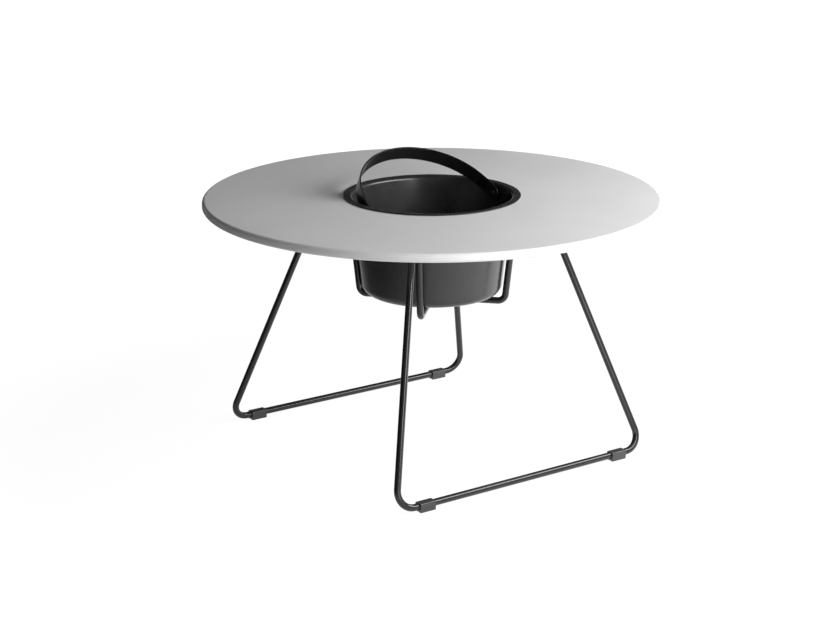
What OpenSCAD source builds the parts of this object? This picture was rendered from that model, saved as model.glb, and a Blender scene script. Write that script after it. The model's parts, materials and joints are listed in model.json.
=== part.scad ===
// Round outdoor side table: a disc tabletop on two bent rods,
// with a drop-in bowl that hangs in the tabletop's hole and lifts out by its bail.
// Origin on the floor under the tabletop's centre, +Z up, floor runs along Y.

/* [Tabletop] */
// Diameter of the tabletop
top_d = 800; // [700:5:1100]
// Thickness of the tabletop
top_t = 15; // [13:0.5:24]
// Height of the tabletop's upper face above the floor
top_h = 451; // [400:1:620]
// Rounding of the tabletop's outer rim
rim_r = 6; // [2:0.5:6]
// Clearance between the bowl's wall and the hole in the tabletop
hole_gap = 2; // [1.8:0.1:5]
// Rounding of the hole's upper edge
hole_edge_r = 4; // [2:0.5:5]

/* [Bowl] */
// Outer diameter of the bowl at the tabletop's upper face
bowl_d = 282; // [230:1:310]
// Depth of the bowl's underside below the tabletop's upper face
bowl_depth = 173; // [130:1:220]
// Slope of the bowl's wall from vertical, in degrees
bowl_draft = 6.1; // [3:0.1:9]
// Thickness of the bowl's sheet
bowl_wall = 1.6; // [1:0.1:2.5]
// Outer radius between the bowl's wall and floor
bowl_corner_r = 16; // [8:1:24]
// Reach of the flange beyond the bowl's wall
flange_w = 14; // [9:0.5:24]
// Radius that rolls the bowl's wall over into the flange
mouth_r = 6; // [5:0.5:9]
// Gap between the flange and the tabletop it rests on
seat_gap = 0.3; // [0.1:0.1:0.6]

/* [Bail] */
// Width of the bail's flat strap
bail_w = 26; // [18:1:28]
// Thickness of the bail's strap
bail_t = 2.5; // [1.5:0.5:4]
// Gap between the arch and the bowl's wall when the bail is folded down
fold_gap = 0.9; // [0.7:0.1:4]
// How much smaller the arch's radius is than the reach of its feet
crown_inset = 3; // [1:0.5:12]
// Height of the bend where a leg meets its upright foot, above the pivot
knee_h = 10; // [8:1:20]
// Lean of the bail from upright, as its stiff pivots hold it, in degrees
bail_lean = 61; // [0:1:80]
// Direction of the pivot axis about the vertical, in degrees from +X
bail_turn = 89; // [0:1:180]
// Depth of the pivots below the tabletop's upper face
pivot_drop = 13.8; // [13:0.1:20]
// Diameter of the pivot rivets' shank
pivot_d = 6; // [5:0.5:7]
// Gap between the lowest edge of a foot and the bowl's wall
foot_gap = 2.6; // [1.5:0.1:5]
// Running gap beside the strap at the pivots
side_gap = 0.25; // [0.1:0.05:0.4]

/* [Base] */
// Diameter of the steel rod
rod_d = 12; // [10:0.5:14]
// Distance between the two floor runs
stance_w = 546; // [460:2:640]
// Length of a floor run between its corners
stance_l = 527; // [440:1:620]
// Straight-line length of the bridge from the cradle arm to the leg, corner to corner
bridge_l = 56; // [52:1:110]
// Gap between the bowl's wall and the cradle arms
cradle_gap = 3; // [2:0.5:8]
// Gap between the bowl's underside and the cradle
cradle_drop = 6.5; // [2:0.5:20]
// Bend radius at the floor corners
floor_bend_r = 28; // [20:1:50]
// Bend radius where the leg meets the bridge
leg_bend_r = 30; // [18:1:32]
// Bend radius where the bridge meets the cradle arm
arm_bend_r = 22; // [16:1:24]
// Bend radius at the foot of the cradle arm
seat_bend_r = 14; // [12:1:24]
// Diameter of the hub that joins the cradle arms under the bowl
hub_d = 28; // [22:1:50]

/* [Fixings] */
// Thickness of a mounting tab
tab_t = 3; // [2:0.5:5]
// Width of a mounting tab along the bridge
tab_w = 22; // [18:1:26]
// Distance between a tab's two screws
tab_pitch = 48; // [40:1:70]
// Diameter of the tab screws' shank
screw_d = 6; // [4:0.5:6]
// Length of the tab screws below the head
screw_l = 12; // [10:0.5:13]
// Diameter of the screws' heads
screw_head_d = 11; // [9:0.5:12]
// Height of the screws' heads
screw_head_h = 3.5; // [3:0.1:4.5]
// Width across corners of the screws' hexagonal socket
socket_d = 4.6; // [3:0.1:5]
// Outer diameter of the threaded inserts
insert_d = 9; // [8:0.5:12]
// Length of the threaded inserts
insert_l = 10; // [8:0.5:11]

/* [Glides] */
// Length of a glide along the floor run
glide_l = 30; // [20:1:50]
// Width of a glide, which is also the outer diameter of its wrap over the rod
glide_w = 16; // [14.5:0.5:22]
// Thickness of a glide below the rod
glide_base = 3.5; // [2:0.5:8]
// Distance from the end of the floor bend to the glide
glide_offset = 7; // [3:1:40]
// Width of the slit that lets a glide spring over the rod
glide_slit = 3; // [1:0.5:6]

/* [Hidden] */
$fn = 96;

fit = 0.05;
eps = 0.01;
// Overlap that fuses a straight to a bend, and how much slimmer the bend is drawn there
lap = 0.4;
lap_step = 0.02;
left = -1;
right = 1;
front = -1;
back = 1;
corners = [[left, front], [right, front], [left, back], [right, back]];

// Heights
under_z = top_h - top_t;
bridge_z = under_z - tab_t - rod_d / 2;
bowl_z = top_h - bowl_depth;
seat_z = bowl_z - cradle_drop - rod_d / 2;
run_z = glide_base + rod_d / 2;
flange_z = top_h + seat_gap;
pivot_z = top_h - pivot_drop;

// Bowl section: radius of the wall's outer and inner faces at a height
function wall_r(z) = bowl_d / 2 - tan(bowl_draft) * (top_h - z);
function inner_r(z) = wall_r(z) - bowl_wall / cos(bowl_draft);
corner_z = bowl_z + bowl_corner_r;
corner_x = wall_r(corner_z) - bowl_corner_r / cos(bowl_draft);
mouth_z = flange_z + bowl_wall - mouth_r;
mouth_x = inner_r(mouth_z) + mouth_r / cos(bowl_draft);
flange_r = bowl_d / 2 + flange_w;
hole_r = bowl_d / 2 + hole_gap;

// Arch of the bail: a round crown, straight legs tangent to it, and upright feet
bail_rise = inner_r(pivot_z) - fold_gap - bail_t / 2;
foot_x = inner_r(pivot_z - bail_w / 2) - foot_gap - bail_t / 2;
crown_r = foot_x - crown_inset;
crown_y = bail_rise - crown_r;
knee_reach = norm([foot_x, knee_h - crown_y]);
leg_start = atan2(knee_h - crown_y, foot_x) + acos(crown_r / knee_reach);

// Pivot stack, measured from the bowl's axis
strap_out = foot_x + bail_t / 2;
strap_in = foot_x - bail_t / 2;
washer_t = 1;
pivot_head_d = pivot_d + 5;
pivot_head_h = 2.4;
pivot_back_h = 1.8;
spacer_d = pivot_d + 6;

// Cradle arms, bridges and legs stand in upright planes through the table's axis
splay = atan2(stance_l, stance_w);
function arm_r(z) = wall_r(z) + (cradle_gap + rod_d / 2) / cos(bowl_draft);
seat_corner_r = arm_r(seat_z);
bridge_in_r = arm_r(bridge_z);
bridge_out_r = bridge_in_r + bridge_l;
floor_corner_r = norm([stance_w, stance_l]) / 2;
leg_slope = atan2(bridge_z - run_z, floor_corner_r - bridge_out_r);
bridge_start = bridge_in_r + arm_bend_r * tan((90 - bowl_draft) / 2);
bridge_end = bridge_out_r - leg_bend_r * tan(leg_slope / 2);
tab_r = (bridge_start + bridge_end) / 2;

function out(s, r, z) = [s[0] * r * cos(splay), s[1] * r * sin(splay), z];
function arm_pts(s) = [
  out(s, 0, seat_z), out(s, seat_corner_r, seat_z), out(s, bridge_in_r, bridge_z),
  out(s, bridge_out_r, bridge_z), out(s, floor_corner_r, run_z)
];
function reversed(list) = [for (i = [len(list) - 1:-1:0]) list[i]];
function rod_pts(side) = concat(arm_pts([side, front]), reversed(arm_pts([side, back])));
arm_radii = [0, seat_bend_r, arm_bend_r, leg_bend_r, floor_bend_r];
rod_radii = concat(arm_radii, reversed(arm_radii));

// Where the floor bend ends on the run
function unit(v) = v / norm(v);
leg_dir = unit(out([1, 1], bridge_out_r, bridge_z) - out([1, 1], floor_corner_r, run_z));
floor_turn = 180 - acos(-leg_dir[1]);
bend_end_y = stance_l / 2 - floor_bend_r * tan(floor_turn / 2);
glide_y = bend_end_y - glide_offset - glide_l / 2;

// Rod and bend building blocks
module along(from, to) {
  d = to - from;
  translate(from) rotate([0, acos(d[2] / norm(d)), atan2(d[1], d[0])]) children();
}

module straight(from, to) {
  along(from, to) translate([0, 0, -lap]) cylinder(h = norm(to - from) + 2 * lap, d = rod_d);
}

function turn_at(p, i) = acos(unit(p[i] - p[i - 1]) * unit(p[i + 1] - p[i]));
function tangent_at(p, r, i) =
  (i == 0 || i == len(p) - 1) ? 0 : r[i] * tan(turn_at(p, i) / 2);

module bend(p, r, i) {
  d1 = unit(p[i] - p[i - 1]);
  d2 = unit(p[i + 1] - p[i]);
  n = unit(d2 - (d1 * d2) * d1);
  c = p[i] - tangent_at(p, r, i) * d1 + r[i] * n;
  z = cross(-n, d1);
  multmatrix([
    [-n[0], d1[0], z[0], c[0]],
    [-n[1], d1[1], z[1], c[1]],
    [-n[2], d1[2], z[2], c[2]],
    [0, 0, 0, 1]
  ])
    rotate_extrude(angle = turn_at(p, i))
      translate([r[i], 0]) circle(d = rod_d - 2 * lap_step);
}

module bent_rod(p, r) {
  for (i = [0:len(p) - 2]) {
    d = unit(p[i + 1] - p[i]);
    straight(p[i] + tangent_at(p, r, i) * d, p[i + 1] - tangent_at(p, r, i + 1) * d);
  }
  for (i = [1:len(p) - 2]) bend(p, r, i);
}

// Section of a bent sheet: a ring sector, run a hair past both ends to fuse with its neighbours
module sheet_arc(outer_r, thickness, start, end) {
  reach = 2 * outer_r;
  from = start - 0.1;
  to = end + 0.1;
  middle = (from + to) / 2;
  difference() {
    intersection() {
      circle(outer_r);
      polygon([
        [0, 0], reach * [cos(from), sin(from)],
        reach * [cos(middle), sin(middle)], reach * [cos(to), sin(to)]
      ]);
    }
    circle(outer_r - thickness);
  }
}

module tabletop() {
  color([0.74, 0.74, 0.75]) difference() {
    translate([0, 0, under_z]) rotate_extrude() {
      square([top_d / 2 - rim_r, top_t]);
      translate([0, rim_r]) square([top_d / 2, top_t - 2 * rim_r]);
      translate([top_d / 2 - rim_r, rim_r]) circle(rim_r);
      translate([top_d / 2 - rim_r, top_t - rim_r]) circle(rim_r);
    }
    translate([0, 0, under_z]) bowl_hole();
    for (s = corners) screw_places(s) insert_pocket();
  }
}

// Hole with a rounded upper edge, cut up from the tabletop's underside
module bowl_hole() {
  rotate_extrude() {
    translate([0, -1]) square([hole_r, top_t + 2]);
    translate([hole_r - eps, top_t - hole_edge_r]) difference() {
      square([hole_edge_r + eps, hole_edge_r + 1]);
      translate([hole_edge_r + eps, 0]) circle(hole_edge_r);
    }
  }
}

// Places a child at both screws of the tab in corner s, on the tabletop's underside
module screw_places(s) {
  rotate([0, 0, atan2(s[1] * sin(splay), s[0] * cos(splay))])
    for (side = [-1, 1]) translate([tab_r, side * tab_pitch / 2, under_z]) children();
}

module insert_pocket() {
  translate([0, 0, -1]) cylinder(h = insert_l + 1 + fit, d = insert_d + 2 * fit);
}

module threaded_inserts() {
  color([0.8, 0.68, 0.4]) for (s = corners) screw_places(s) difference() {
    cylinder(h = insert_l, d = insert_d);
    translate([0, 0, -1]) cylinder(h = insert_l + 2, d = screw_d + 2 * fit);
  }
}

module frame_rod(side) {
  color([0.13, 0.13, 0.14]) difference() {
    bent_rod(rod_pts(side), rod_radii);
    translate([0, 0, seat_z - rod_d]) cylinder(h = 2 * rod_d, d = hub_d);
  }
}

module cradle_hub() {
  color([0.13, 0.13, 0.14])
    translate([0, 0, seat_z - rod_d / 2]) cylinder(h = rod_d, d = hub_d);
}

module mounting_tab(s) {
  color([0.16, 0.16, 0.17])
    rotate([0, 0, atan2(s[1] * sin(splay), s[0] * cos(splay))])
      translate([tab_r, 0, under_z - tab_t]) difference() {
        union() {
          translate([-tab_w / 2, -tab_pitch / 2, 0]) cube([tab_w, tab_pitch, tab_t]);
          for (side = [-1, 1])
            translate([0, side * tab_pitch / 2, 0]) cylinder(h = tab_t, d = tab_w);
        }
        for (side = [-1, 1])
          translate([0, side * tab_pitch / 2, -1])
            cylinder(h = tab_t + 2, d = screw_d + 0.6);
      }
}

module tab_screws() {
  color([0.55, 0.55, 0.57]) for (s = corners) screw_places(s) translate([0, 0, -tab_t]) {
    cylinder(h = screw_l, d = screw_d);
    difference() {
      rotate_extrude() pan_head(screw_head_d / 2, screw_head_h);
      translate([0, 0, -screw_head_h - 1]) cylinder(h = 3, d = socket_d, $fn = 6);
    }
  }
}

// Half section of a domed screw or rivet head below the plane z = 0
module pan_head(r, h) {
  edge = h / 3;
  dome_r = (r * r + (h - edge) * (h - edge)) / (2 * (h - edge));
  translate([0, -edge]) square([r, edge]);
  intersection() {
    translate([0, -h]) square([r, h - edge]);
    translate([0, dome_r - h]) circle(dome_r);
  }
}

// Sleeve wrapped over the rod, on an upright block with a flat base that is slit lengthwise
module glide(s) {
  color([0.1, 0.1, 0.1])
    translate([s[0] * stance_w / 2, s[1] * glide_y, 0])
      rotate([90, 0, 0]) translate([0, 0, -glide_l / 2]) linear_extrude(glide_l) difference() {
        union() {
          translate([-glide_w / 2, 0]) square([glide_w, run_z]);
          translate([0, run_z]) circle(d = glide_w);
        }
        translate([0, run_z]) circle(d = rod_d + 2 * fit);
        translate([-glide_slit / 2, -1]) square([glide_slit, run_z]);
      }
}

module bowl_section() {
  translate([0, bowl_z]) square([corner_x, bowl_wall]);
  translate([corner_x, corner_z])
    sheet_arc(bowl_corner_r, bowl_wall, -90, -bowl_draft);
  polygon([
    [corner_x, corner_z] + corner_tip(bowl_corner_r - bowl_wall),
    [corner_x, corner_z] + corner_tip(bowl_corner_r),
    [mouth_x, mouth_z] + mouth_tip(mouth_r - bowl_wall),
    [mouth_x, mouth_z] + mouth_tip(mouth_r)
  ]);
  translate([mouth_x, mouth_z]) sheet_arc(mouth_r, bowl_wall, 90, 180 - bowl_draft);
  translate([mouth_x, flange_z])
    square([flange_r - bowl_wall / 2 - mouth_x, bowl_wall]);
  translate([flange_r - bowl_wall / 2, flange_z + bowl_wall / 2]) circle(d = bowl_wall);
}

// Where the wall leaves the corner and the mouth, from the centre of each bend
function corner_tip(r) = r * [cos(bowl_draft), -sin(bowl_draft)];
function mouth_tip(r) = r * [-cos(bowl_draft), sin(bowl_draft)];

module bowl() {
  color([0.12, 0.12, 0.13]) difference() {
    rotate_extrude() bowl_section();
    for (end = [front, back]) pivot_axis(end) cylinder(h = bowl_d, d = pivot_d + 2 * fit);
  }
}

// Places a child on the pivot axis, its Z pointing outwards at the given end
module pivot_axis(end) {
  translate([0, 0, pivot_z]) rotate([0, 0, bail_turn]) rotate([0, -end * 90, 0]) children();
}

// Solid inside the bowl's outer or inner cone, used to seat the pivot parts on the wall
module cone_of(offset) {
  span = 40;
  lower = pivot_z - span;
  upper = pivot_z + span;
  translate([0, 0, lower])
    cylinder(h = 2 * span, r1 = wall_r(lower) + offset, r2 = wall_r(upper) + offset, $fn = 720);
}

module pivot_rivet(end) {
  head_z = strap_in - side_gap - washer_t;
  back_z = wall_r(pivot_z) + pivot_back_h;
  color([0.3, 0.3, 0.31]) {
    pivot_axis(end) translate([0, 0, head_z]) {
      rotate_extrude() pan_head(pivot_head_d / 2, pivot_head_h);
      cylinder(h = back_z - head_z, d = pivot_d);
    }
    difference() {
      pivot_axis(end) translate([0, 0, back_z - 2 * pivot_back_h])
        cylinder(h = 2 * pivot_back_h, d = pivot_head_d - 1);
      cone_of(fit);
    }
  }
}

module pivot_spacer(end) {
  seat = bowl_wall / cos(bowl_draft) + fit;
  color([0.5, 0.5, 0.52]) intersection() {
    pivot_axis(end) translate([0, 0, strap_out + side_gap]) difference() {
      cylinder(h = bowl_d / 2 - strap_out, d = spacer_d);
      translate([0, 0, -1]) cylinder(h = bowl_d, d = pivot_d + 2 * fit);
    }
    cone_of(-seat);
  }
}

module pivot_washer(end) {
  color([0.5, 0.5, 0.52])
    pivot_axis(end) translate([0, 0, strap_in - side_gap - washer_t]) difference() {
      cylinder(h = washer_t, d = spacer_d);
      translate([0, 0, -1]) cylinder(h = washer_t + 2, d = pivot_d + 2 * fit);
    }
}

// Side outline of a leg and foot on the +X side, running past the crown's end to fuse with it
module leg_outline() {
  half = bail_t / 2;
  knee = half * tan(leg_start / 2);
  top = [0, crown_y] + crown_r * [cos(leg_start), sin(leg_start)] +
    lap * [-sin(leg_start), cos(leg_start)];
  across = half * [cos(leg_start), sin(leg_start)];
  polygon([
    [foot_x - half, 0], [foot_x + half, 0], [foot_x + half, knee_h + knee],
    top + across, top - across, [foot_x - half, knee_h - knee]
  ]);
}

// Flat arch in the X-Y plane, pivots on the X axis, strap width along Z
module arch() {
  half = bail_w / 2;
  slim_t = bail_t - 2 * lap_step;
  slim_w = bail_w - 2 * lap_step;
  difference() {
    union() {
      translate([0, crown_y, -slim_w / 2]) linear_extrude(slim_w)
        sheet_arc(crown_r + slim_t / 2, slim_t, leg_start, 180 - leg_start);
      for (m = [0, 1]) mirror([m, 0, 0]) {
        translate([0, 0, -half]) linear_extrude(bail_w) leg_outline();
        translate([foot_x - slim_t / 2, 0, 0]) rotate([0, 90, 0])
          cylinder(h = slim_t, d = slim_w);
      }
    }
    translate([-bowl_d / 2, 0, 0]) rotate([0, 90, 0])
      cylinder(h = bowl_d, d = pivot_d + 2 * fit);
  }
}

module bail_handle() {
  color([0.1, 0.1, 0.11])
    translate([0, 0, pivot_z]) rotate([0, 0, bail_turn]) rotate([90 - bail_lean, 0, 0]) arch();
}

tabletop();
threaded_inserts();
frame_rod(left);  // frame_rod_left
frame_rod(right);  // frame_rod_right
cradle_hub();
mounting_tab([left, front]);  // mounting_tab_front_left
mounting_tab([right, front]);  // mounting_tab_front_right
mounting_tab([left, back]);  // mounting_tab_back_left
mounting_tab([right, back]);  // mounting_tab_back_right
tab_screws();
glide([left, front]);  // glide_front_left
glide([right, front]);  // glide_front_right
glide([left, back]);  // glide_back_left
glide([right, back]);  // glide_back_right
bowl();
pivot_rivet(front);  // pivot_rivet_front
pivot_rivet(back);  // pivot_rivet_back
pivot_spacer(front);  // pivot_spacer_front
pivot_spacer(back);  // pivot_spacer_back
pivot_washer(front);  // pivot_washer_front
pivot_washer(back);  // pivot_washer_back
bail_handle();
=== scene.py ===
"""Looks of the round outdoor side table: light grey top, black bent-rod base, black lift-out bowl."""

import json
import math

import bmesh
import bpy
from mathutils import Matrix, Vector

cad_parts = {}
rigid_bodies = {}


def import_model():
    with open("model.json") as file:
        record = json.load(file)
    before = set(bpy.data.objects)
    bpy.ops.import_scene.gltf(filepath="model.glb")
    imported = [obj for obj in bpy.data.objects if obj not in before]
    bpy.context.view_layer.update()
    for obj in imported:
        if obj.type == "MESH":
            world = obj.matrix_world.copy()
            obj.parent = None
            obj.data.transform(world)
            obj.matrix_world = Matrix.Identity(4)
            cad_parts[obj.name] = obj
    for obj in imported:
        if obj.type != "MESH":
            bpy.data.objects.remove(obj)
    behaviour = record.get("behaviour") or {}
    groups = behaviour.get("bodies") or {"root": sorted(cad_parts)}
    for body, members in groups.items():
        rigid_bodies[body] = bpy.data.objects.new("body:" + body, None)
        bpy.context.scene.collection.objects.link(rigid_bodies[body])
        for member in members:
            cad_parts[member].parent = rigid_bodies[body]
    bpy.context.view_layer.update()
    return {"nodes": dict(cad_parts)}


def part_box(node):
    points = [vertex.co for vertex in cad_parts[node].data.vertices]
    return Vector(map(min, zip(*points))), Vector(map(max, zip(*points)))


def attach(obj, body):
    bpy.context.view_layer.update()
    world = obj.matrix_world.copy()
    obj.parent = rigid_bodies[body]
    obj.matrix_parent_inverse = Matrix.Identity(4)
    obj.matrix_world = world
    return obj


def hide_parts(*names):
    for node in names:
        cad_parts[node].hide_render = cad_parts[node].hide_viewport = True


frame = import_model()
scene = bpy.context.scene

# Tabletop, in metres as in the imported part
TOP_R = 0.4
TOP_H = 0.451
TOP_T = 0.015
UNDER_Z = TOP_H - TOP_T
RIM_R = 0.006
HOLE_R = 0.143
HOLE_EDGE_R = 0.004
HOLE_UNDER_R = 0.0004

# Bowl
BOWL_R = 0.141
BOWL_DEPTH = 0.173
BOWL_DRAFT = math.radians(6.1)
BOWL_WALL = 0.0016


def wall_r(z):
    """Radius of the bowl's outer face at a height."""
    return BOWL_R - math.tan(BOWL_DRAFT) * (TOP_H - z)


def inner_r(z):
    """Radius of the bowl's inner face at a height."""
    return wall_r(z) - BOWL_WALL / math.cos(BOWL_DRAFT)


# Bail: a flat strap with upright feet, a knee in each leg and a round crown
BAIL_W = 0.026
BAIL_T = 0.0025
BAIL_LEAN = math.radians(61)
BAIL_TURN = math.radians(89)
FOLD_GAP = 0.0009
FOOT_GAP = 0.0026
CROWN_INSET = 0.003
KNEE_H = 0.01
PIVOT_DROP = 0.0138
BAIL_EDGE_R = 0.0005
PIVOT_Z = TOP_H - PIVOT_DROP
FOOT_X = inner_r(PIVOT_Z - BAIL_W / 2) - FOOT_GAP - BAIL_T / 2
CROWN_R = FOOT_X - CROWN_INSET
CROWN_Y = inner_r(PIVOT_Z) - FOLD_GAP - BAIL_T / 2 - CROWN_R
KNEE_REACH = math.hypot(FOOT_X, KNEE_H - CROWN_Y)
LEG_START = math.atan2(KNEE_H - CROWN_Y, FOOT_X) + math.acos(CROWN_R / KNEE_REACH)

# Base: two bent rods that stand in upright planes through the table's axis
ROD_R = 0.006
RUN_SPACING = 0.546
RUN_LENGTH = 0.527
SPLAY = math.atan2(RUN_LENGTH, RUN_SPACING)
HUB_R = 0.014
HUB_EDGE_R = 0.0006
ROD_SINK = 0.0005
BRIDGE_L = 0.056
CRADLE_GAP = 0.003
CRADLE_DROP = 0.0065
TAB_T = 0.003
TAB_EDGE_R = 0.0005
GLIDE_BASE = 0.0035
SEAT_Z = TOP_H - BOWL_DEPTH - CRADLE_DROP - ROD_R
BRIDGE_Z = UNDER_Z - TAB_T - ROD_R
RUN_Z = GLIDE_BASE + ROD_R
SEAT_BEND_R = 0.014
ARM_BEND_R = 0.022
LEG_BEND_R = 0.03
FLOOR_BEND_R = 0.028


def arm_r(z):
    """Reach of a cradle arm's middle line from the table's axis at a height."""
    return wall_r(z) + (CRADLE_GAP + ROD_R) / math.cos(BOWL_DRAFT)


BRIDGE_IN_R = arm_r(BRIDGE_Z)
BRIDGE_OUT_R = BRIDGE_IN_R + BRIDGE_L
FOOT_REACH = math.hypot(RUN_SPACING, RUN_LENGTH) / 2
LEG_SLOPE = math.atan2(BRIDGE_Z - RUN_Z, FOOT_REACH - BRIDGE_OUT_R)
BRIDGE_START = BRIDGE_IN_R + ARM_BEND_R * math.tan((math.pi / 2 - BOWL_DRAFT) / 2)
BRIDGE_END = BRIDGE_OUT_R - LEG_BEND_R * math.tan(LEG_SLOPE / 2)
TAB_R = (BRIDGE_START + BRIDGE_END) / 2

# Weld beads: two on each bridge, up on its shoulders, rippled and thinner at their tips
BEAD_R = 0.0017
BEAD_L = 0.017
BEAD_LIFT = ROD_R * 0.8
BEAD_ASIDE = ROD_R * 0.66
BEAD_STEPS = 28
BEAD_START = 0.35
BEAD_TIP = 0.3
BEAD_SWELL = 6
BEAD_VALLEY = 0.82

# Weld collars ring each arm at the hub
COLLAR_R = 0.0012
COLLAR_GAP = 0.0001
COLLAR_RIPPLES = 24
COLLAR_RIPPLE_DEPTH = 0.035

# Glides: square-shouldered blocks that spring over the floor runs through a slit
GLIDE_W = 0.016
GLIDE_H = 0.0158
GLIDE_L = 0.03
GLIDE_SLIT = 0.003
GLIDE_SHOULDER_R = 0.0018
GLIDE_BORE_GAP = 0.00005
GLIDE_EDGE_R = 0.0004

# Distances within which points become one, count as at a place, and snap to a cut
MERGED = 1e-6
NEAR = 1e-5
SNAP = 1e-7
# Turns up to which faces become one, past which an edge is eased, and between the rings of a bend
FLAT = math.radians(0.6)
CORNER = math.radians(50)
BEND_STEP = math.radians(5)

# Camera at the photograph's place: a long lens, turned, tilted down and rolled a hair
LENS = 84.287
SENSOR_W = 36
CAMERA_PLACE = (2.7341, -1.9276, 1.2434)
CAMERA_HEADING = math.radians(55.179)
CAMERA_PITCH = math.radians(16.8245)
CAMERA_ROLL = math.radians(-0.039)
VIEW_END = 60

# Room: sides that face the bright wall, the low strip behind the table and the side where the floor glows
# with a painted pool of the wall's light
WALL_SIDE = (0.91, 0.41, 0)
BACK_SIDE = (-0.817, 0.576, 0)
FLOOR_SIDE = (0.579, 0.815, 0)
# Glow of the wall as light, the wall as gloss mirrors it, the strip, and the dim rest
WALL_GLOW = 1.55
WALL_SHEEN = 0.6
STRIP_GLOW = 1.6
ROOM_FILL = 0.04

# Floor: its reach, the ring where its shadow fades out, and how much it glows for each kind of ray; its glow
# for light and mirrors is painted light
FLOOR_R = 14
SHADOW_FULL_R = 0.7
SHADOW_END_R = 1.6
FLOOR_WHITE = 1.09
SHADOW_SHARE = 0.13
UNSEEN_SHARE = 0.35
MIRROR_SHARE = 0.45

# Colour, texture and wear that several finishes share
DUST_GREY = (0.3, 0.3, 0.29)
DUST_ROUGHNESS = 0.4
FINE_COAT = {"Peel_Size": 0.0018, "Peel_Depth": 0.00001, "Grain_Size": 0.0003, "Grain_Depth": 0.0000025}
BLACK_WEAR = {"Width": 0.0006, "Breakup_Size": 0.006, "Amount": 0.25}

# Colour sockets of a Mix node, by place because several of its sockets share a name
MIX_FIRST = 6
MIX_SECOND = 7
MIX_RESULT = 2


# Camera
def place_camera():
    data = bpy.data.cameras.new("photo_camera")
    data.sensor_fit = "HORIZONTAL"
    data.sensor_width = SENSOR_W
    data.lens = LENS
    data.clip_end = VIEW_END
    camera = bpy.data.objects.new("photo_camera", data)
    scene.collection.objects.link(camera)
    turn = Matrix.Rotation(CAMERA_HEADING, 4, "Z")
    tilt = Matrix.Rotation(math.pi / 2 - CAMERA_PITCH, 4, "X")
    roll = Matrix.Rotation(CAMERA_ROLL, 4, "Z")
    camera.matrix_world = Matrix.Translation(CAMERA_PLACE) @ turn @ tilt @ roll
    scene.camera = camera


# Shader building blocks
def add(tree, kind, inputs=(), **settings):
    """A node with its settings made and its inputs set or linked."""
    node = tree.nodes.new(kind)
    for name, value in settings.items():
        setattr(node, name, value)
    for name, value in dict(inputs).items():
        if isinstance(value, bpy.types.NodeSocket):
            tree.links.new(value, node.inputs[name])
        else:
            node.inputs[name].default_value = value
    return node


def math_node(tree, operation, first, second=0.0, clamp=False):
    node = add(tree, "ShaderNodeMath", {0: first, 1: second}, operation=operation, use_clamp=clamp)
    return node.outputs[0]


def dot(tree, first, second):
    return add(tree, "ShaderNodeVectorMath", {0: first, 1: second}, operation="DOT_PRODUCT").outputs["Value"]


def noise(tree, where, size, detail, roughness=0.5):
    """Noise whose lumps are about size metres across."""
    scale = math_node(tree, "DIVIDE", 1.0, size)
    return add(tree, "ShaderNodeTexNoise", {
        "Vector": where, "Scale": scale, "Detail": detail, "Roughness": roughness,
    }).outputs["Fac"]


def spread(tree, value, low, high, to_low=0.0, to_high=1.0):
    """The value's range from low to high, spread over the range from to_low to to_high and held there."""
    return add(tree, "ShaderNodeMapRange", {
        "Value": value, "From Min": low, "From Max": high, "To Min": to_low, "To Max": to_high,
    }, clamp=True).outputs["Result"]


def start_group(name, numbers, results):
    tree = bpy.data.node_groups.new(name, "ShaderNodeTree")
    for label, value in numbers.items():
        socket = tree.interface.new_socket(name=label, in_out="INPUT", socket_type="NodeSocketFloat")
        socket.default_value = value
    for label in results:
        tree.interface.new_socket(name=label, in_out="OUTPUT", socket_type="NodeSocketFloat")
    given = tree.nodes.new("NodeGroupInput")
    return tree, given.outputs, tree.nodes.new("NodeGroupOutput").inputs


def build_coat_texture():
    """Orange peel and fine grain of a sprayed or baked coat, with slow patches in its gloss."""
    tree, given, result = start_group(
        "coat_texture",
        {"Peel Size": 0.002, "Peel Depth": 0.00002, "Grain Size": 0.0004, "Grain Depth": 0.000005,
         "Patch Size": 0.06},
        ["Height", "Patches"],
    )
    where = add(tree, "ShaderNodeTexCoord").outputs["Object"]
    peel = noise(tree, where, given["Peel Size"], detail=1.5)
    grain = noise(tree, where, given["Grain Size"], detail=1.0)
    peel_height = math_node(tree, "MULTIPLY", peel, given["Peel Depth"])
    grain_height = math_node(tree, "MULTIPLY", grain, given["Grain Depth"])
    tree.links.new(math_node(tree, "ADD", peel_height, grain_height), result["Height"])
    patches = noise(tree, where, given["Patch Size"], detail=4.0, roughness=0.6)
    tree.links.new(spread(tree, patches, low=0.3, high=0.7), result["Patches"])
    return tree


def build_edge_wear():
    """Mask of the convex edges, broken up as rubbing leaves them."""
    tree, given, result = start_group(
        "edge_wear", {"Width": 0.0006, "Breakup Size": 0.008, "Amount": 0.3}, ["Mask"],
    )
    where = add(tree, "ShaderNodeTexCoord").outputs["Object"]
    soft = add(tree, "ShaderNodeBevel", {"Radius": given["Width"]}, samples=4).outputs["Normal"]
    sharp = add(tree, "ShaderNodeNewGeometry").outputs["Normal"]
    edge = spread(tree, dot(tree, soft, sharp), low=0.99, high=0.85)
    lumps = noise(tree, where, given["Breakup Size"], detail=4.0, roughness=0.7)
    rubbed = math_node(tree, "MULTIPLY", edge, spread(tree, lumps, low=0.42, high=0.62))
    rubbed = math_node(tree, "MULTIPLY", rubbed, given["Amount"], clamp=True)
    tree.links.new(rubbed, result["Mask"])
    return tree


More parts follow.
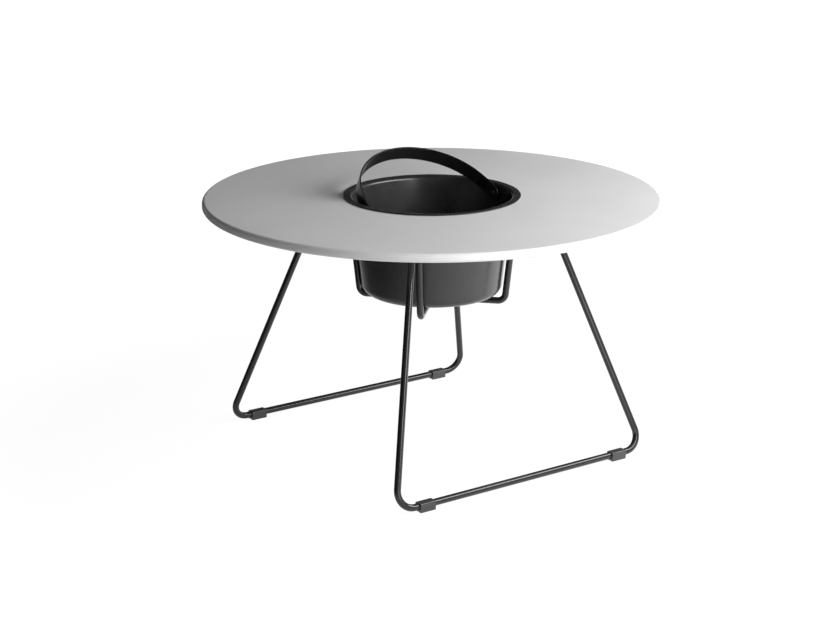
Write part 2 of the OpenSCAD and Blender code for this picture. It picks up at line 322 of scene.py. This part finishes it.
def build_settled_dust():
    """Thin dust on faces that look up, thicker in patches."""
    tree, given, result = start_group("settled_dust", {"Amount": 0.1, "Patch Size": 0.03}, ["Mask"])
    where = add(tree, "ShaderNodeTexCoord").outputs["Object"]
    normal = add(tree, "ShaderNodeNewGeometry").outputs["Normal"]
    up = add(tree, "ShaderNodeSeparateXYZ", {"Vector": normal}).outputs["Z"]
    lumps = noise(tree, where, given["Patch Size"], detail=5.0, roughness=0.65)
    patches = spread(tree, lumps, low=0.35, high=0.7)
    dust = math_node(tree, "MULTIPLY", spread(tree, up, low=0.2, high=1.0), patches)
    dust = math_node(tree, "MULTIPLY", dust, given["Amount"], clamp=True)
    tree.links.new(dust, result["Mask"])
    return tree


COAT_TEXTURE = build_coat_texture()
EDGE_WEAR = build_edge_wear()
SETTLED_DUST = build_settled_dust()


def group(tree, shared, **numbers):
    """A shared effect placed in a material with its own values; gives its outputs."""
    node = tree.nodes.new("ShaderNodeGroup")
    node.node_tree = shared
    node.label = shared.name
    for name, value in numbers.items():
        node.inputs[name.replace("_", " ")].default_value = value
    return node.outputs


def blend_colour(tree, factor, first, second):
    """Mixes two colours, each a tuple or a socket, by a factor that changes over the surface."""
    mix = add(tree, "ShaderNodeMix", data_type="RGBA", blend_type="MIX")
    tree.links.new(factor, mix.inputs["Factor"])
    for place, colour in ((MIX_FIRST, first), (MIX_SECOND, second)):
        if isinstance(colour, bpy.types.NodeSocket):
            tree.links.new(colour, mix.inputs[place])
        else:
            mix.inputs[place].default_value = (*colour, 1)
    return mix.outputs[MIX_RESULT]


def start_material(name):
    material = bpy.data.materials.new(name)
    material.use_nodes = True
    tree = material.node_tree
    return material, tree, tree.nodes["Principled BSDF"]


def bump(tree, shader, height):
    node = add(tree, "ShaderNodeBump", {"Height": height, "Distance": 1.0, "Strength": 1.0})
    tree.links.new(node.outputs["Normal"], shader.inputs["Normal"])


# Finishes
def coated(name, colour, patch_colour, rough, texture, wear, worn_colour, dust, dust_colour=DUST_GREY):
    """A coat with its texture, gloss patches, rubbed edges and a trace of dust."""
    material, tree, shader = start_material(name)
    coat = group(tree, COAT_TEXTURE, **texture)
    worn = group(tree, EDGE_WEAR, **wear)["Mask"]
    dusty = group(tree, SETTLED_DUST, **dust)["Mask"]
    tone = blend_colour(tree, coat["Patches"], colour, patch_colour)
    tone = blend_colour(tree, worn, tone, worn_colour)
    tone = blend_colour(tree, dusty, tone, dust_colour)
    tree.links.new(tone, shader.inputs["Base Color"])
    gloss = spread(tree, coat["Patches"], low=0.0, high=1.0, to_low=rough[0], to_high=rough[1])
    dulled = math_node(tree, "MULTIPLY", dusty, DUST_ROUGHNESS)
    tree.links.new(math_node(tree, "ADD", gloss, dulled, clamp=True), shader.inputs["Roughness"])
    bump(tree, shader, coat["Height"])
    return material


def bare_metal(name, colour, patch_colour, rough):
    """Turned or plated metal with fine grain and bright rubbed edges."""
    material, tree, shader = start_material(name)
    shader.inputs["Metallic"].default_value = 1.0
    coat = group(tree, COAT_TEXTURE, Peel_Size=0.0012, Peel_Depth=0.00001, Grain_Size=0.0002,
                 Grain_Depth=0.000006, Patch_Size=0.004)
    worn = group(tree, EDGE_WEAR, Width=0.0004, Breakup_Size=0.002, Amount=0.5)["Mask"]
    tone = blend_colour(tree, coat["Patches"], colour, patch_colour)
    tone = blend_colour(tree, worn, tone, (0.8, 0.8, 0.8))
    tree.links.new(tone, shader.inputs["Base Color"])
    gloss = spread(tree, coat["Patches"], low=0.0, high=1.0, to_low=rough[0], to_high=rough[1])
    tree.links.new(gloss, shader.inputs["Roughness"])
    bump(tree, shader, coat["Height"])
    return material


MATERIALS = {
    "tabletop_board": coated(
        "grey_board_lacquer",
        colour=(0.545, 0.545, 0.552), patch_colour=(0.56, 0.56, 0.567), rough=(0.30, 0.36),
        texture={"Peel_Size": 0.003, "Peel_Depth": 0.00003, "Grain_Size": 0.0005,
                 "Grain_Depth": 0.000004, "Patch_Size": 0.12},
        wear={"Width": 0.0008, "Breakup_Size": 0.01, "Amount": 0.1}, worn_colour=(0.66, 0.66, 0.66),
        dust={"Amount": 0.04, "Patch_Size": 0.05}, dust_colour=(0.62, 0.61, 0.59)),
    "frame_coating": coated(
        "black_rod_coat",
        colour=(0.006, 0.006, 0.0065), patch_colour=(0.009, 0.009, 0.0095), rough=(0.13, 0.17),
        texture=FINE_COAT, wear=BLACK_WEAR, worn_colour=(0.08, 0.08, 0.08),
        dust={"Amount": 0.012, "Patch_Size": 0.02}),
    "bowl_coating": coated(
        "black_bowl_coat",
        colour=(0.013, 0.013, 0.0135), patch_colour=(0.017, 0.017, 0.0175), rough=(0.2, 0.26),
        texture=FINE_COAT, wear=BLACK_WEAR, worn_colour=(0.1, 0.1, 0.1),
        dust={"Amount": 0.008, "Patch_Size": 0.03}),
    "bail_coating": coated(
        "black_bail_coat",
        colour=(0.006, 0.006, 0.0065), patch_colour=(0.009, 0.009, 0.0095), rough=(0.18, 0.24),
        texture=FINE_COAT, wear=BLACK_WEAR, worn_colour=(0.08, 0.08, 0.08),
        dust={"Amount": 0.008, "Patch_Size": 0.02}),
    "glide_plastic": coated(
        "dark_glide_plastic",
        colour=(0.022, 0.022, 0.023), patch_colour=(0.03, 0.03, 0.031), rough=(0.28, 0.38),
        texture={"Peel_Size": 0.0012, "Peel_Depth": 0.00002, "Grain_Size": 0.0003,
                 "Grain_Depth": 0.00002},
        wear={"Width": 0.0005, "Breakup_Size": 0.004, "Amount": 0.3}, worn_colour=(0.14, 0.14, 0.14),
        dust={"Amount": 0.06, "Patch_Size": 0.01}),
    "rivet_steel": coated(
        "blackened_rivet",
        colour=(0.008, 0.008, 0.0085), patch_colour=(0.012, 0.012, 0.0125), rough=(0.24, 0.32),
        texture=FINE_COAT,
        wear={"Width": 0.0005, "Breakup_Size": 0.002, "Amount": 0.35}, worn_colour=(0.2, 0.2, 0.2),
        dust={"Amount": 0.02, "Patch_Size": 0.01}),
    "washer_plastic": coated(
        "dark_nylon",
        colour=(0.012, 0.012, 0.012), patch_colour=(0.018, 0.018, 0.018), rough=(0.38, 0.46),
        texture=FINE_COAT,
        wear={"Width": 0.0004, "Breakup_Size": 0.003, "Amount": 0.2}, worn_colour=(0.12, 0.12, 0.12),
        dust={"Amount": 0.02, "Patch_Size": 0.01}),
    "insert_brass": bare_metal(
        "turned_brass", colour=(0.72, 0.55, 0.3), patch_colour=(0.6, 0.44, 0.22), rough=(0.24, 0.36)),
    "screw_steel": bare_metal(
        "zinc_plate", colour=(0.5, 0.5, 0.52), patch_colour=(0.6, 0.6, 0.61), rough=(0.26, 0.42)),
}


def dress_nodes():
    """Gives each CAD node that stays in view the finish of its slot."""
    for node in frame["nodes"].values():
        for place in node.material_slots:
            slot = place.material.name.split(".")[0]
            if slot in MATERIALS:
                place.material = MATERIALS[slot]


# Mesh building blocks
def finish_piece(name, bm, slot, body, stands_for=(), sharp=35):
    """Makes the shape a piece of a body, shaded smooth but for edges sharper than sharp degrees."""
    bmesh.ops.recalc_face_normals(bm, faces=bm.faces)
    mesh = bpy.data.meshes.new(name)
    bm.to_mesh(mesh)
    bm.free()
    mesh.shade_smooth()
    mesh.set_sharp_from_angle(angle=math.radians(sharp))
    mesh.materials.append(MATERIALS[slot])
    piece = bpy.data.objects.new(name, mesh)
    scene.collection.objects.link(piece)
    even = piece.modifiers.new("even_shading", "WEIGHTED_NORMAL")
    even.keep_sharp = True
    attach(piece, body)
    if stands_for:
        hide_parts(*stands_for)


def round_edges(bm, edges, width, segments):
    bmesh.ops.bevel(bm, geom=edges, offset=width, offset_type="OFFSET", segments=segments, profile=0.5,
                    affect="EDGES", clamp_overlap=True, material=-1)


def corner_edges(bm):
    return [e for e in bm.edges if len(e.link_faces) == 2 and e.calc_face_angle() > CORNER]


def ring_edges(bm, radius, height):
    """Edges of the ring at a radius and height about the Z axis."""
    def on_ring(v):
        return abs(math.hypot(v.co.x, v.co.y) - radius) < NEAR and abs(v.co.z - height) < NEAR
    return [e for e in bm.edges if on_ring(e.verts[0]) and on_ring(e.verts[1])]


def all_of(bm):
    return bm.verts[:] + bm.edges[:] + bm.faces[:]


def new_verts(drawn):
    return [g for g in drawn if isinstance(g, bmesh.types.BMVert)]


def draw_ring(bm, ring):
    """Extrudes a ring of edges where it is; gives the new ring and its verts, ready to be moved."""
    drawn = bmesh.ops.extrude_edge_only(bm, edges=ring)["geom"]
    verts = new_verts(drawn)
    edges = [g for g in drawn if isinstance(g, bmesh.types.BMEdge) and all(v in verts for v in g.verts)]
    return edges, verts


def facing(place, heading):
    """Matrix that puts a shape at a place with its Z axis along a heading."""
    return Matrix.Translation(place) @ heading.to_track_quat("Z", "Y").to_matrix().to_4x4()


def splayed(side, reach, height, end):
    """Point in the upright plane of the arm on a side (-1 left, 1 right) and end (-1 front, 1 back)."""
    return Vector((side * reach * math.cos(SPLAY), end * reach * math.sin(SPLAY), height))


def soften_node(node, slot, body, width):
    """The CAD node's own shape with its sharp edges rounded off, as deburring or a mould leaves them."""
    bm = bmesh.new()
    bm.from_mesh(frame["nodes"][node].data)
    bmesh.ops.remove_doubles(bm, verts=bm.verts, dist=2 * MERGED)
    bmesh.ops.dissolve_limit(bm, angle_limit=FLAT, verts=bm.verts, edges=bm.edges)
    round_edges(bm, corner_edges(bm), width, segments=3)
    finish_piece(node + "_softened", bm, slot, body, [node])


# Tabletop
def make_tabletop():
    """Board turned from its square section, then both rim edges and the hole's edges are rounded."""
    bm = bmesh.new()
    corners = [(HOLE_R, UNDER_Z), (TOP_R, UNDER_Z), (TOP_R, TOP_H), (HOLE_R, TOP_H)]
    verts = [bm.verts.new((x, 0, z)) for x, z in corners]
    edges = [bm.edges.new((verts[i], verts[(i + 1) % 4])) for i in range(4)]
    bmesh.ops.spin(bm, geom=verts + edges, cent=(0, 0, 0), axis=(0, 0, 1), angle=math.tau, steps=288,
                   use_merge=True)
    bmesh.ops.remove_doubles(bm, verts=bm.verts, dist=MERGED)
    bmesh.ops.recalc_face_normals(bm, faces=bm.faces)
    rims = ring_edges(bm, TOP_R, TOP_H) + ring_edges(bm, TOP_R, UNDER_Z)
    round_edges(bm, rims, RIM_R, segments=8)
    round_edges(bm, ring_edges(bm, HOLE_R, TOP_H), HOLE_EDGE_R, segments=6)
    round_edges(bm, ring_edges(bm, HOLE_R, UNDER_Z), HOLE_UNDER_R, segments=2)
    finish_piece("tabletop_board", bm, "tabletop_board", "table", ["tabletop"], sharp=40)


# Bent rods
def bend_rod(bm, points, radii):
    """Draws a round bar along points, turned at each corner with its bend radius."""
    heading = (points[1] - points[0]).normalized()
    bmesh.ops.create_circle(bm, segments=32, radius=ROD_R, matrix=facing(points[0], heading))
    first = list(bm.edges)
    ring = first
    at = points[0]
    for corner in range(1, len(points)):
        heading = (points[corner] - points[corner - 1]).normalized()
        last = corner == len(points) - 1
        turn = 0.0 if last else heading.angle(points[corner + 1] - points[corner])
        reach = 0.0 if last else radii[corner] * math.tan(turn / 2)
        straight_end = points[corner] - heading * reach
        ring, moved = draw_ring(bm, ring)
        bmesh.ops.translate(bm, verts=moved, vec=straight_end - at)
        if not last:
            following = (points[corner + 1] - points[corner]).normalized()
            axis = heading.cross(following).normalized()
            centre = straight_end + axis.cross(heading) * radii[corner]
            steps = max(3, round(turn / BEND_STEP))
            spun = bmesh.ops.spin(bm, geom=ring, cent=centre, axis=axis, angle=turn, steps=steps,
                                  use_merge=False)["geom_last"]
            ring = [g for g in spun if isinstance(g, bmesh.types.BMEdge)]
            at = points[corner] + following * reach
    for end in (first, ring):
        bmesh.ops.contextual_create(bm, geom=end)


def make_rods():
    """Each rod: cradle arm, bridge, leg, floor run, and the same back up to the hub."""
    arm = [(HUB_R - ROD_SINK, SEAT_Z), (arm_r(SEAT_Z), SEAT_Z), (BRIDGE_IN_R, BRIDGE_Z),
           (BRIDGE_OUT_R, BRIDGE_Z), (FOOT_REACH, RUN_Z)]
    bends = [0, SEAT_BEND_R, ARM_BEND_R, LEG_BEND_R, FLOOR_BEND_R]
    for side, name in ((-1, "left"), (1, "right")):
        points = [splayed(side, reach, height, -1) for reach, height in arm]
        points += [splayed(side, reach, height, 1) for reach, height in reversed(arm)]
        bm = bmesh.new()
        bend_rod(bm, points, bends + bends[::-1])
        finish_piece("bent_rod_" + name, bm, "frame_coating", "table", ["frame_rod_" + name])


# Welds
def weld_bead(bm, start, end):
    """Rippled bead from start to end: a ring drawn on in short steps, each second step a ripple's crest."""
    width = BEAD_R * BEAD_TIP
    place = facing(start, (end - start).normalized())
    made = bmesh.ops.create_circle(bm, cap_ends=True, segments=12, radius=width, matrix=place)
    ring = list({e for v in made["verts"] for e in v.link_edges})
    centre = start
    for step in range(1, BEAD_STEPS + 1):
        along = step / BEAD_STEPS
        swell = min(1.0, BEAD_START + BEAD_SWELL * along, BEAD_TIP + BEAD_SWELL * (1 - along))
        wanted = BEAD_R * swell * (1.0 if step % 2 else BEAD_VALLEY)
        following = start.lerp(end, along)
        ring, moved = draw_ring(bm, ring)
        bmesh.ops.translate(bm, verts=moved, vec=following - centre)
        grow = wanted / width
        bmesh.ops.scale(bm, verts=moved, vec=(grow, grow, grow), space=Matrix.Translation(-following))
        centre = following
        width = wanted
    bmesh.ops.contextual_create(bm, geom=ring)


def weld_collar(bm, centre, along):
    """Rippled ring round an arm, bent back to follow the hub's round side."""
    place = Matrix.Translation((ROD_R, 0, 0)) @ Matrix.Rotation(math.pi / 2, 4, "X")
    made = bmesh.ops.create_circle(bm, segments=10, radius=COLLAR_R, matrix=place)
    ring = list({e for v in made["verts"] for e in v.link_edges})
    bmesh.ops.spin(bm, geom=made["verts"] + ring, cent=(0, 0, 0), axis=(0, 0, 1), angle=math.tau,
                   steps=72, use_merge=True)
    bmesh.ops.remove_doubles(bm, verts=bm.verts, dist=MERGED)
    for v in bm.verts:
        ripple = 1 + COLLAR_RIPPLE_DEPTH * math.cos(COLLAR_RIPPLES * math.atan2(v.co.y, v.co.x))
        v.co.x *= ripple
        v.co.y *= ripple
    bmesh.ops.transform(bm, matrix=facing(centre, along), verts=bm.verts)
    level = along.cross(Vector((0, 0, 1))).normalized()
    for v in bm.verts:
        aside = (v.co - centre).dot(level)
        v.co -= along * (HUB_R - math.sqrt(max(0.0, HUB_R ** 2 - aside ** 2)))


def make_welds():
    """Two beads that join each bridge to its tab, and a collar round each arm where it meets the hub."""
    for end, way in ((-1, "front"), (1, "back")):
        for side, hand in ((-1, "left"), (1, "right")):
            along = splayed(side, 1, 0, end)
            across = along.cross(Vector((0, 0, 1))).normalized()
            middle = splayed(side, TAB_R, BRIDGE_Z + BEAD_LIFT, end)
            bm = bmesh.new()
            for edge in (-1, 1):
                line = middle + across * edge * BEAD_ASIDE
                weld_bead(bm, line - along * BEAD_L / 2, line + along * BEAD_L / 2)
            finish_piece("weld_tab_" + way + "_" + hand, bm, "frame_coating", "table", sharp=60)
            bm = bmesh.new()
            weld_collar(bm, splayed(side, HUB_R + COLLAR_GAP, SEAT_Z, end), along)
            finish_piece("weld_hub_" + way + "_" + hand, bm, "frame_coating", "table", sharp=60)


# Glides
def glide_section(bm):
    """Flat section in the XY plane, the rod's middle at the origin: shoulders, bore and slit."""
    block = Matrix.Translation((0, GLIDE_H / 2 - RUN_Z, 0)) @ Matrix.Diagonal((GLIDE_W, GLIDE_H, 1, 1))
    bmesh.ops.create_grid(bm, x_segments=1, y_segments=1, size=0.5, matrix=block)
    shoulders = [v for v in bm.verts if v.co.y > 0]
    bmesh.ops.bevel(bm, geom=shoulders, offset=GLIDE_SHOULDER_R, offset_type="OFFSET", segments=6,
                    profile=0.5, affect="VERTICES", material=-1)
    bmesh.ops.delete(bm, geom=bm.faces[:], context="FACES_ONLY")
    bmesh.ops.create_circle(bm, segments=48, radius=ROD_R + GLIDE_BORE_GAP)
    bmesh.ops.triangle_fill(bm, use_beauty=True, use_dissolve=False, edges=bm.edges[:])
    for edge in (-1, 1):
        bmesh.ops.bisect_plane(bm, geom=all_of(bm), dist=SNAP, plane_co=(edge * GLIDE_SLIT / 2, 0, 0),
                               plane_no=(1, 0, 0))
    centres = {f: f.calc_center_median() for f in bm.faces}
    slit = [f for f, centre in centres.items() if abs(centre.x) < GLIDE_SLIT / 2 and centre.y < 0]
    bmesh.ops.delete(bm, geom=slit, context="FACES")


def make_glides():
    """Square-shouldered sleeves on the floor runs: the section drawn out to its length, edges eased."""
    for corner in ("front_left", "front_right", "back_left", "back_right"):
        low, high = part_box("glide_" + corner)
        bm = bmesh.new()
        glide_section(bm)
        drawn = bmesh.ops.extrude_face_region(bm, geom=bm.faces[:])["geom"]
        bmesh.ops.translate(bm, verts=new_verts(drawn), vec=(0, 0, GLIDE_L))
        bmesh.ops.recalc_face_normals(bm, faces=bm.faces)
        bmesh.ops.dissolve_limit(bm, angle_limit=FLAT, verts=bm.verts, edges=bm.edges)
        round_edges(bm, corner_edges(bm), GLIDE_EDGE_R, segments=2)
        place = Matrix.Translation(((low[0] + high[0]) / 2, high[1], low[2] + RUN_Z))
        bmesh.ops.transform(bm, matrix=place @ Matrix.Rotation(math.pi / 2, 4, "X"), verts=bm.verts)
        finish_piece("floor_glide_" + corner, bm, "glide_plastic", "table", ["glide_" + corner], sharp=40)


# Bail
def draw_strap(bm, face, outer, inner):
    """Extrudes the strap's end face to a new end: its outer verts to outer, its inner verts to inner."""
    middle = face.calc_center_median().x
    grown = bmesh.ops.extrude_discrete_faces(bm, faces=[face])["faces"][0]
    for v in grown.verts:
        target = outer if v.co.x > middle else inner
        v.co.x = target.x
        v.co.y = target.y
    return grown


def make_bail():
    """Flat strap: a rounded foot, a leg with one knee, and half the crown by spin, then its mirror half."""
    half_t = BAIL_T / 2
    knee = half_t * math.tan(LEG_START / 2)
    bm = bmesh.new()
    foot = Matrix.Translation((FOOT_X - half_t, 0, 0)) @ Matrix.Rotation(math.pi / 2, 4, "Y")
    bmesh.ops.create_circle(bm, cap_ends=True, segments=64, radius=BAIL_W / 2, matrix=foot)
    bmesh.ops.bisect_plane(bm, geom=all_of(bm), dist=SNAP, plane_co=(0, 0, 0), plane_no=(0, 1, 0),
                           clear_outer=True)
    drawn = bmesh.ops.extrude_face_region(bm, geom=bm.faces[:])["geom"]
    bmesh.ops.translate(bm, verts=new_verts(drawn), vec=(BAIL_T, 0, 0))
    bmesh.ops.recalc_face_normals(bm, faces=bm.faces)
    end = max(bm.faces, key=lambda f: f.calc_center_median().y)
    outer = Vector((FOOT_X + half_t, KNEE_H + knee, 0))
    inner = Vector((FOOT_X - half_t, KNEE_H - knee, 0))
    end = draw_strap(bm, end, outer, inner)
    across = Vector((math.cos(LEG_START), math.sin(LEG_START), 0))
    crown = Vector((0, CROWN_Y, 0)) + across * CROWN_R
    end = draw_strap(bm, end, crown + across * half_t, crown - across * half_t)
    spun = bmesh.ops.spin(bm, geom=[end], cent=(0, CROWN_Y, 0), axis=(0, 0, 1),
                          angle=math.pi / 2 - LEG_START, steps=40, use_merge=False)["geom_last"]
    last = [g for g in spun if isinstance(g, bmesh.types.BMFace)]
    bmesh.ops.delete(bm, geom=last, context="FACES_ONLY")
    bmesh.ops.mirror(bm, geom=all_of(bm), axis="X", merge_dist=NEAR)
    bmesh.ops.recalc_face_normals(bm, faces=bm.faces)
    round_edges(bm, corner_edges(bm), BAIL_EDGE_R, segments=3)
    lean = Matrix.Rotation(math.pi / 2 - BAIL_LEAN, 4, "X")
    place = Matrix.Translation((0, 0, PIVOT_Z)) @ Matrix.Rotation(BAIL_TURN, 4, "Z") @ lean
    bmesh.ops.transform(bm, matrix=place, verts=bm.verts)
    finish_piece("bail_strap", bm, "bail_coating", "bail", ["bail_handle"])


# Studio
def softbox(name, place, width, height, power):
    """Flat lamp aimed at the middle of the tabletop."""
    data = bpy.data.lights.new(name, "AREA")
    data.shape = "RECTANGLE"
    data.size = width
    data.size_y = height
    data.energy = power
    lamp = bpy.data.objects.new(name, data)
    scene.collection.objects.link(lamp)
    aim = Vector((0, 0, TOP_H)) - Vector(place)
    lamp.location = place
    lamp.rotation_euler = aim.to_track_quat("-Z", "Y").to_euler()
    return lamp


def make_room():
    """White for the camera; for light and mirrors a dim room with a bright wall and a low bright strip."""
    world = bpy.data.worlds.new("studio")
    scene.world = world
    world.use_nodes = True
    tree = world.node_tree
    tree.nodes.clear()
    ray = add(tree, "ShaderNodeLightPath").outputs
    towards = add(tree, "ShaderNodeTexCoord").outputs["Generated"]
    height = add(tree, "ShaderNodeSeparateXYZ", {"Vector": towards}).outputs["Z"]
    level = math_node(tree, "ABSOLUTE", height)
    wall = math_node(tree, "MULTIPLY", spread(tree, dot(tree, towards, WALL_SIDE), low=-0.15, high=0.6),
                     spread(tree, level, low=0.2, high=0.7, to_low=1.0, to_high=0.0))
    strip = math_node(tree, "MULTIPLY", spread(tree, dot(tree, towards, BACK_SIDE), low=0.3, high=0.9),
                      spread(tree, level, low=0.01, high=0.06, to_low=STRIP_GLOW, to_high=0.0))
    mirrored = ray["Is Glossy Ray"]
    wall_glow = spread(tree, mirrored, low=0.0, high=1.0, to_low=WALL_GLOW, to_high=WALL_SHEEN)
    strength = math_node(tree, "ADD", math_node(tree, "MULTIPLY", wall, wall_glow), strip)
    strength = math_node(tree, "ADD", strength, ROOM_FILL)
    room = add(tree, "ShaderNodeBackground", {"Color": (1, 1, 1, 1), "Strength": strength})
    white = add(tree, "ShaderNodeBackground", {"Color": (1, 1, 1, 1), "Strength": 1.0})
    seen = math_node(tree, "ADD", ray["Is Camera Ray"], ray["Is Transmission Ray"], clamp=True)
    mix = add(tree, "ShaderNodeMixShader", {0: seen, 1: room.outputs[0], 2: white.outputs[0]})
    add(tree, "ShaderNodeOutputWorld", {"Surface": mix.outputs[0]})


def make_lamps():
    """A key lamp that nothing mirrors, and a small low lamp for the legs and the bowl's side."""
    key = softbox("key_softbox", place=(1.08, 0.9, 0.96), width=2.2, height=1.1, power=80)
    key.visible_glossy = False
    softbox("low_softbox", place=(1.36, -0.1, 0.2), width=0.5, height=0.3, power=1.5)


def make_floor():
    """Pale floor that takes a faint shadow near the table and runs out to white; for light and mirrors it
    glows with painted light, dim on one side and bright towards the wall.
    """
    bm = bmesh.new()
    bmesh.ops.create_circle(bm, cap_ends=True, segments=96, radius=FLOOR_R)
    mesh = bpy.data.meshes.new("studio_floor")
    bm.to_mesh(mesh)
    bm.free()
    floor = bpy.data.objects.new("studio_floor", mesh)
    scene.collection.objects.link(floor)
    material = bpy.data.materials.new("pale_floor")
    material.use_nodes = True
    tree = material.node_tree
    tree.nodes.clear()
    where = add(tree, "ShaderNodeTexCoord").outputs["Object"]
    ray = add(tree, "ShaderNodeLightPath").outputs
    seen = ray["Is Camera Ray"]
    unseen = math_node(tree, "SUBTRACT", 1.0, seen)
    lit = add(tree, "ShaderNodeBsdfDiffuse", {"Color": (0.6, 0.6, 0.6, 1)})
    # Painted light: for light and mirrors the floor glows dim on the far side and bright towards the wall, a
    # painted pool of the wall's light
    side = dot(tree, where, FLOOR_SIDE)
    painted_wall_light = math_node(tree, "ADD", spread(tree, side, low=-0.8, high=0.0, to_low=0.05, to_high=1.2),
                      spread(tree, side, low=0.0, high=1.2, to_low=0.0, to_high=1.1))
    glow = math_node(tree, "ADD", math_node(tree, "MULTIPLY", seen, FLOOR_WHITE),
                     math_node(tree, "MULTIPLY", unseen, painted_wall_light))
    white = add(tree, "ShaderNodeEmission", {"Color": (1, 1, 1, 1), "Strength": glow})
    far = add(tree, "ShaderNodeVectorMath", {0: where}, operation="LENGTH").outputs["Value"]
    near = spread(tree, far, SHADOW_FULL_R, SHADOW_END_R, to_low=1.0, to_high=0.0)
    held = math_node(tree, "SUBTRACT", 1.0, math_node(tree, "MULTIPLY", near, SHADOW_SHARE))
    share = math_node(tree, "ADD", math_node(tree, "MULTIPLY", seen, held),
                      math_node(tree, "MULTIPLY", unseen, UNSEEN_SHARE))
    share = math_node(tree, "ADD", share, math_node(tree, "MULTIPLY", ray["Is Glossy Ray"], MIRROR_SHARE))
    mix = add(tree, "ShaderNodeMixShader", {0: share, 1: lit.outputs[0], 2: white.outputs[0]})
    add(tree, "ShaderNodeOutputMaterial", {"Surface": mix.outputs[0]})
    mesh.materials.append(material)


def make_glints():
    """Two panels flagged off the pale top, so only the black parts mirror them."""
    black_parts = bpy.data.collections.new("black_parts")
    for piece in scene.objects:
        if piece.type == "MESH" and piece.name not in ("tabletop_board", "tabletop", "studio_floor"):
            black_parts.objects.link(piece)
    long_panel = softbox("long_panel", place=(0.9, 0.66, 0.92), width=1.7, height=0.5, power=26)
    small_panel = softbox("small_panel", place=(1.4, -0.1, 0.62), width=0.34, height=0.34, power=2.6)
    for panel in (long_panel, small_panel):
        panel.visible_diffuse = False
        panel.light_linking.receiver_collection = black_parts


place_camera()
dress_nodes()
make_tabletop()
make_rods()
make_welds()
make_glides()
make_bail()
soften_node("cradle_hub", "frame_coating", "table", HUB_EDGE_R)
for tab in ("front_left", "front_right", "back_left", "back_right"):
    soften_node("mounting_tab_" + tab, "frame_coating", "table", TAB_EDGE_R)
make_room()
make_lamps()
make_floor()
make_glints()

scene.view_settings.view_transform = "Standard"
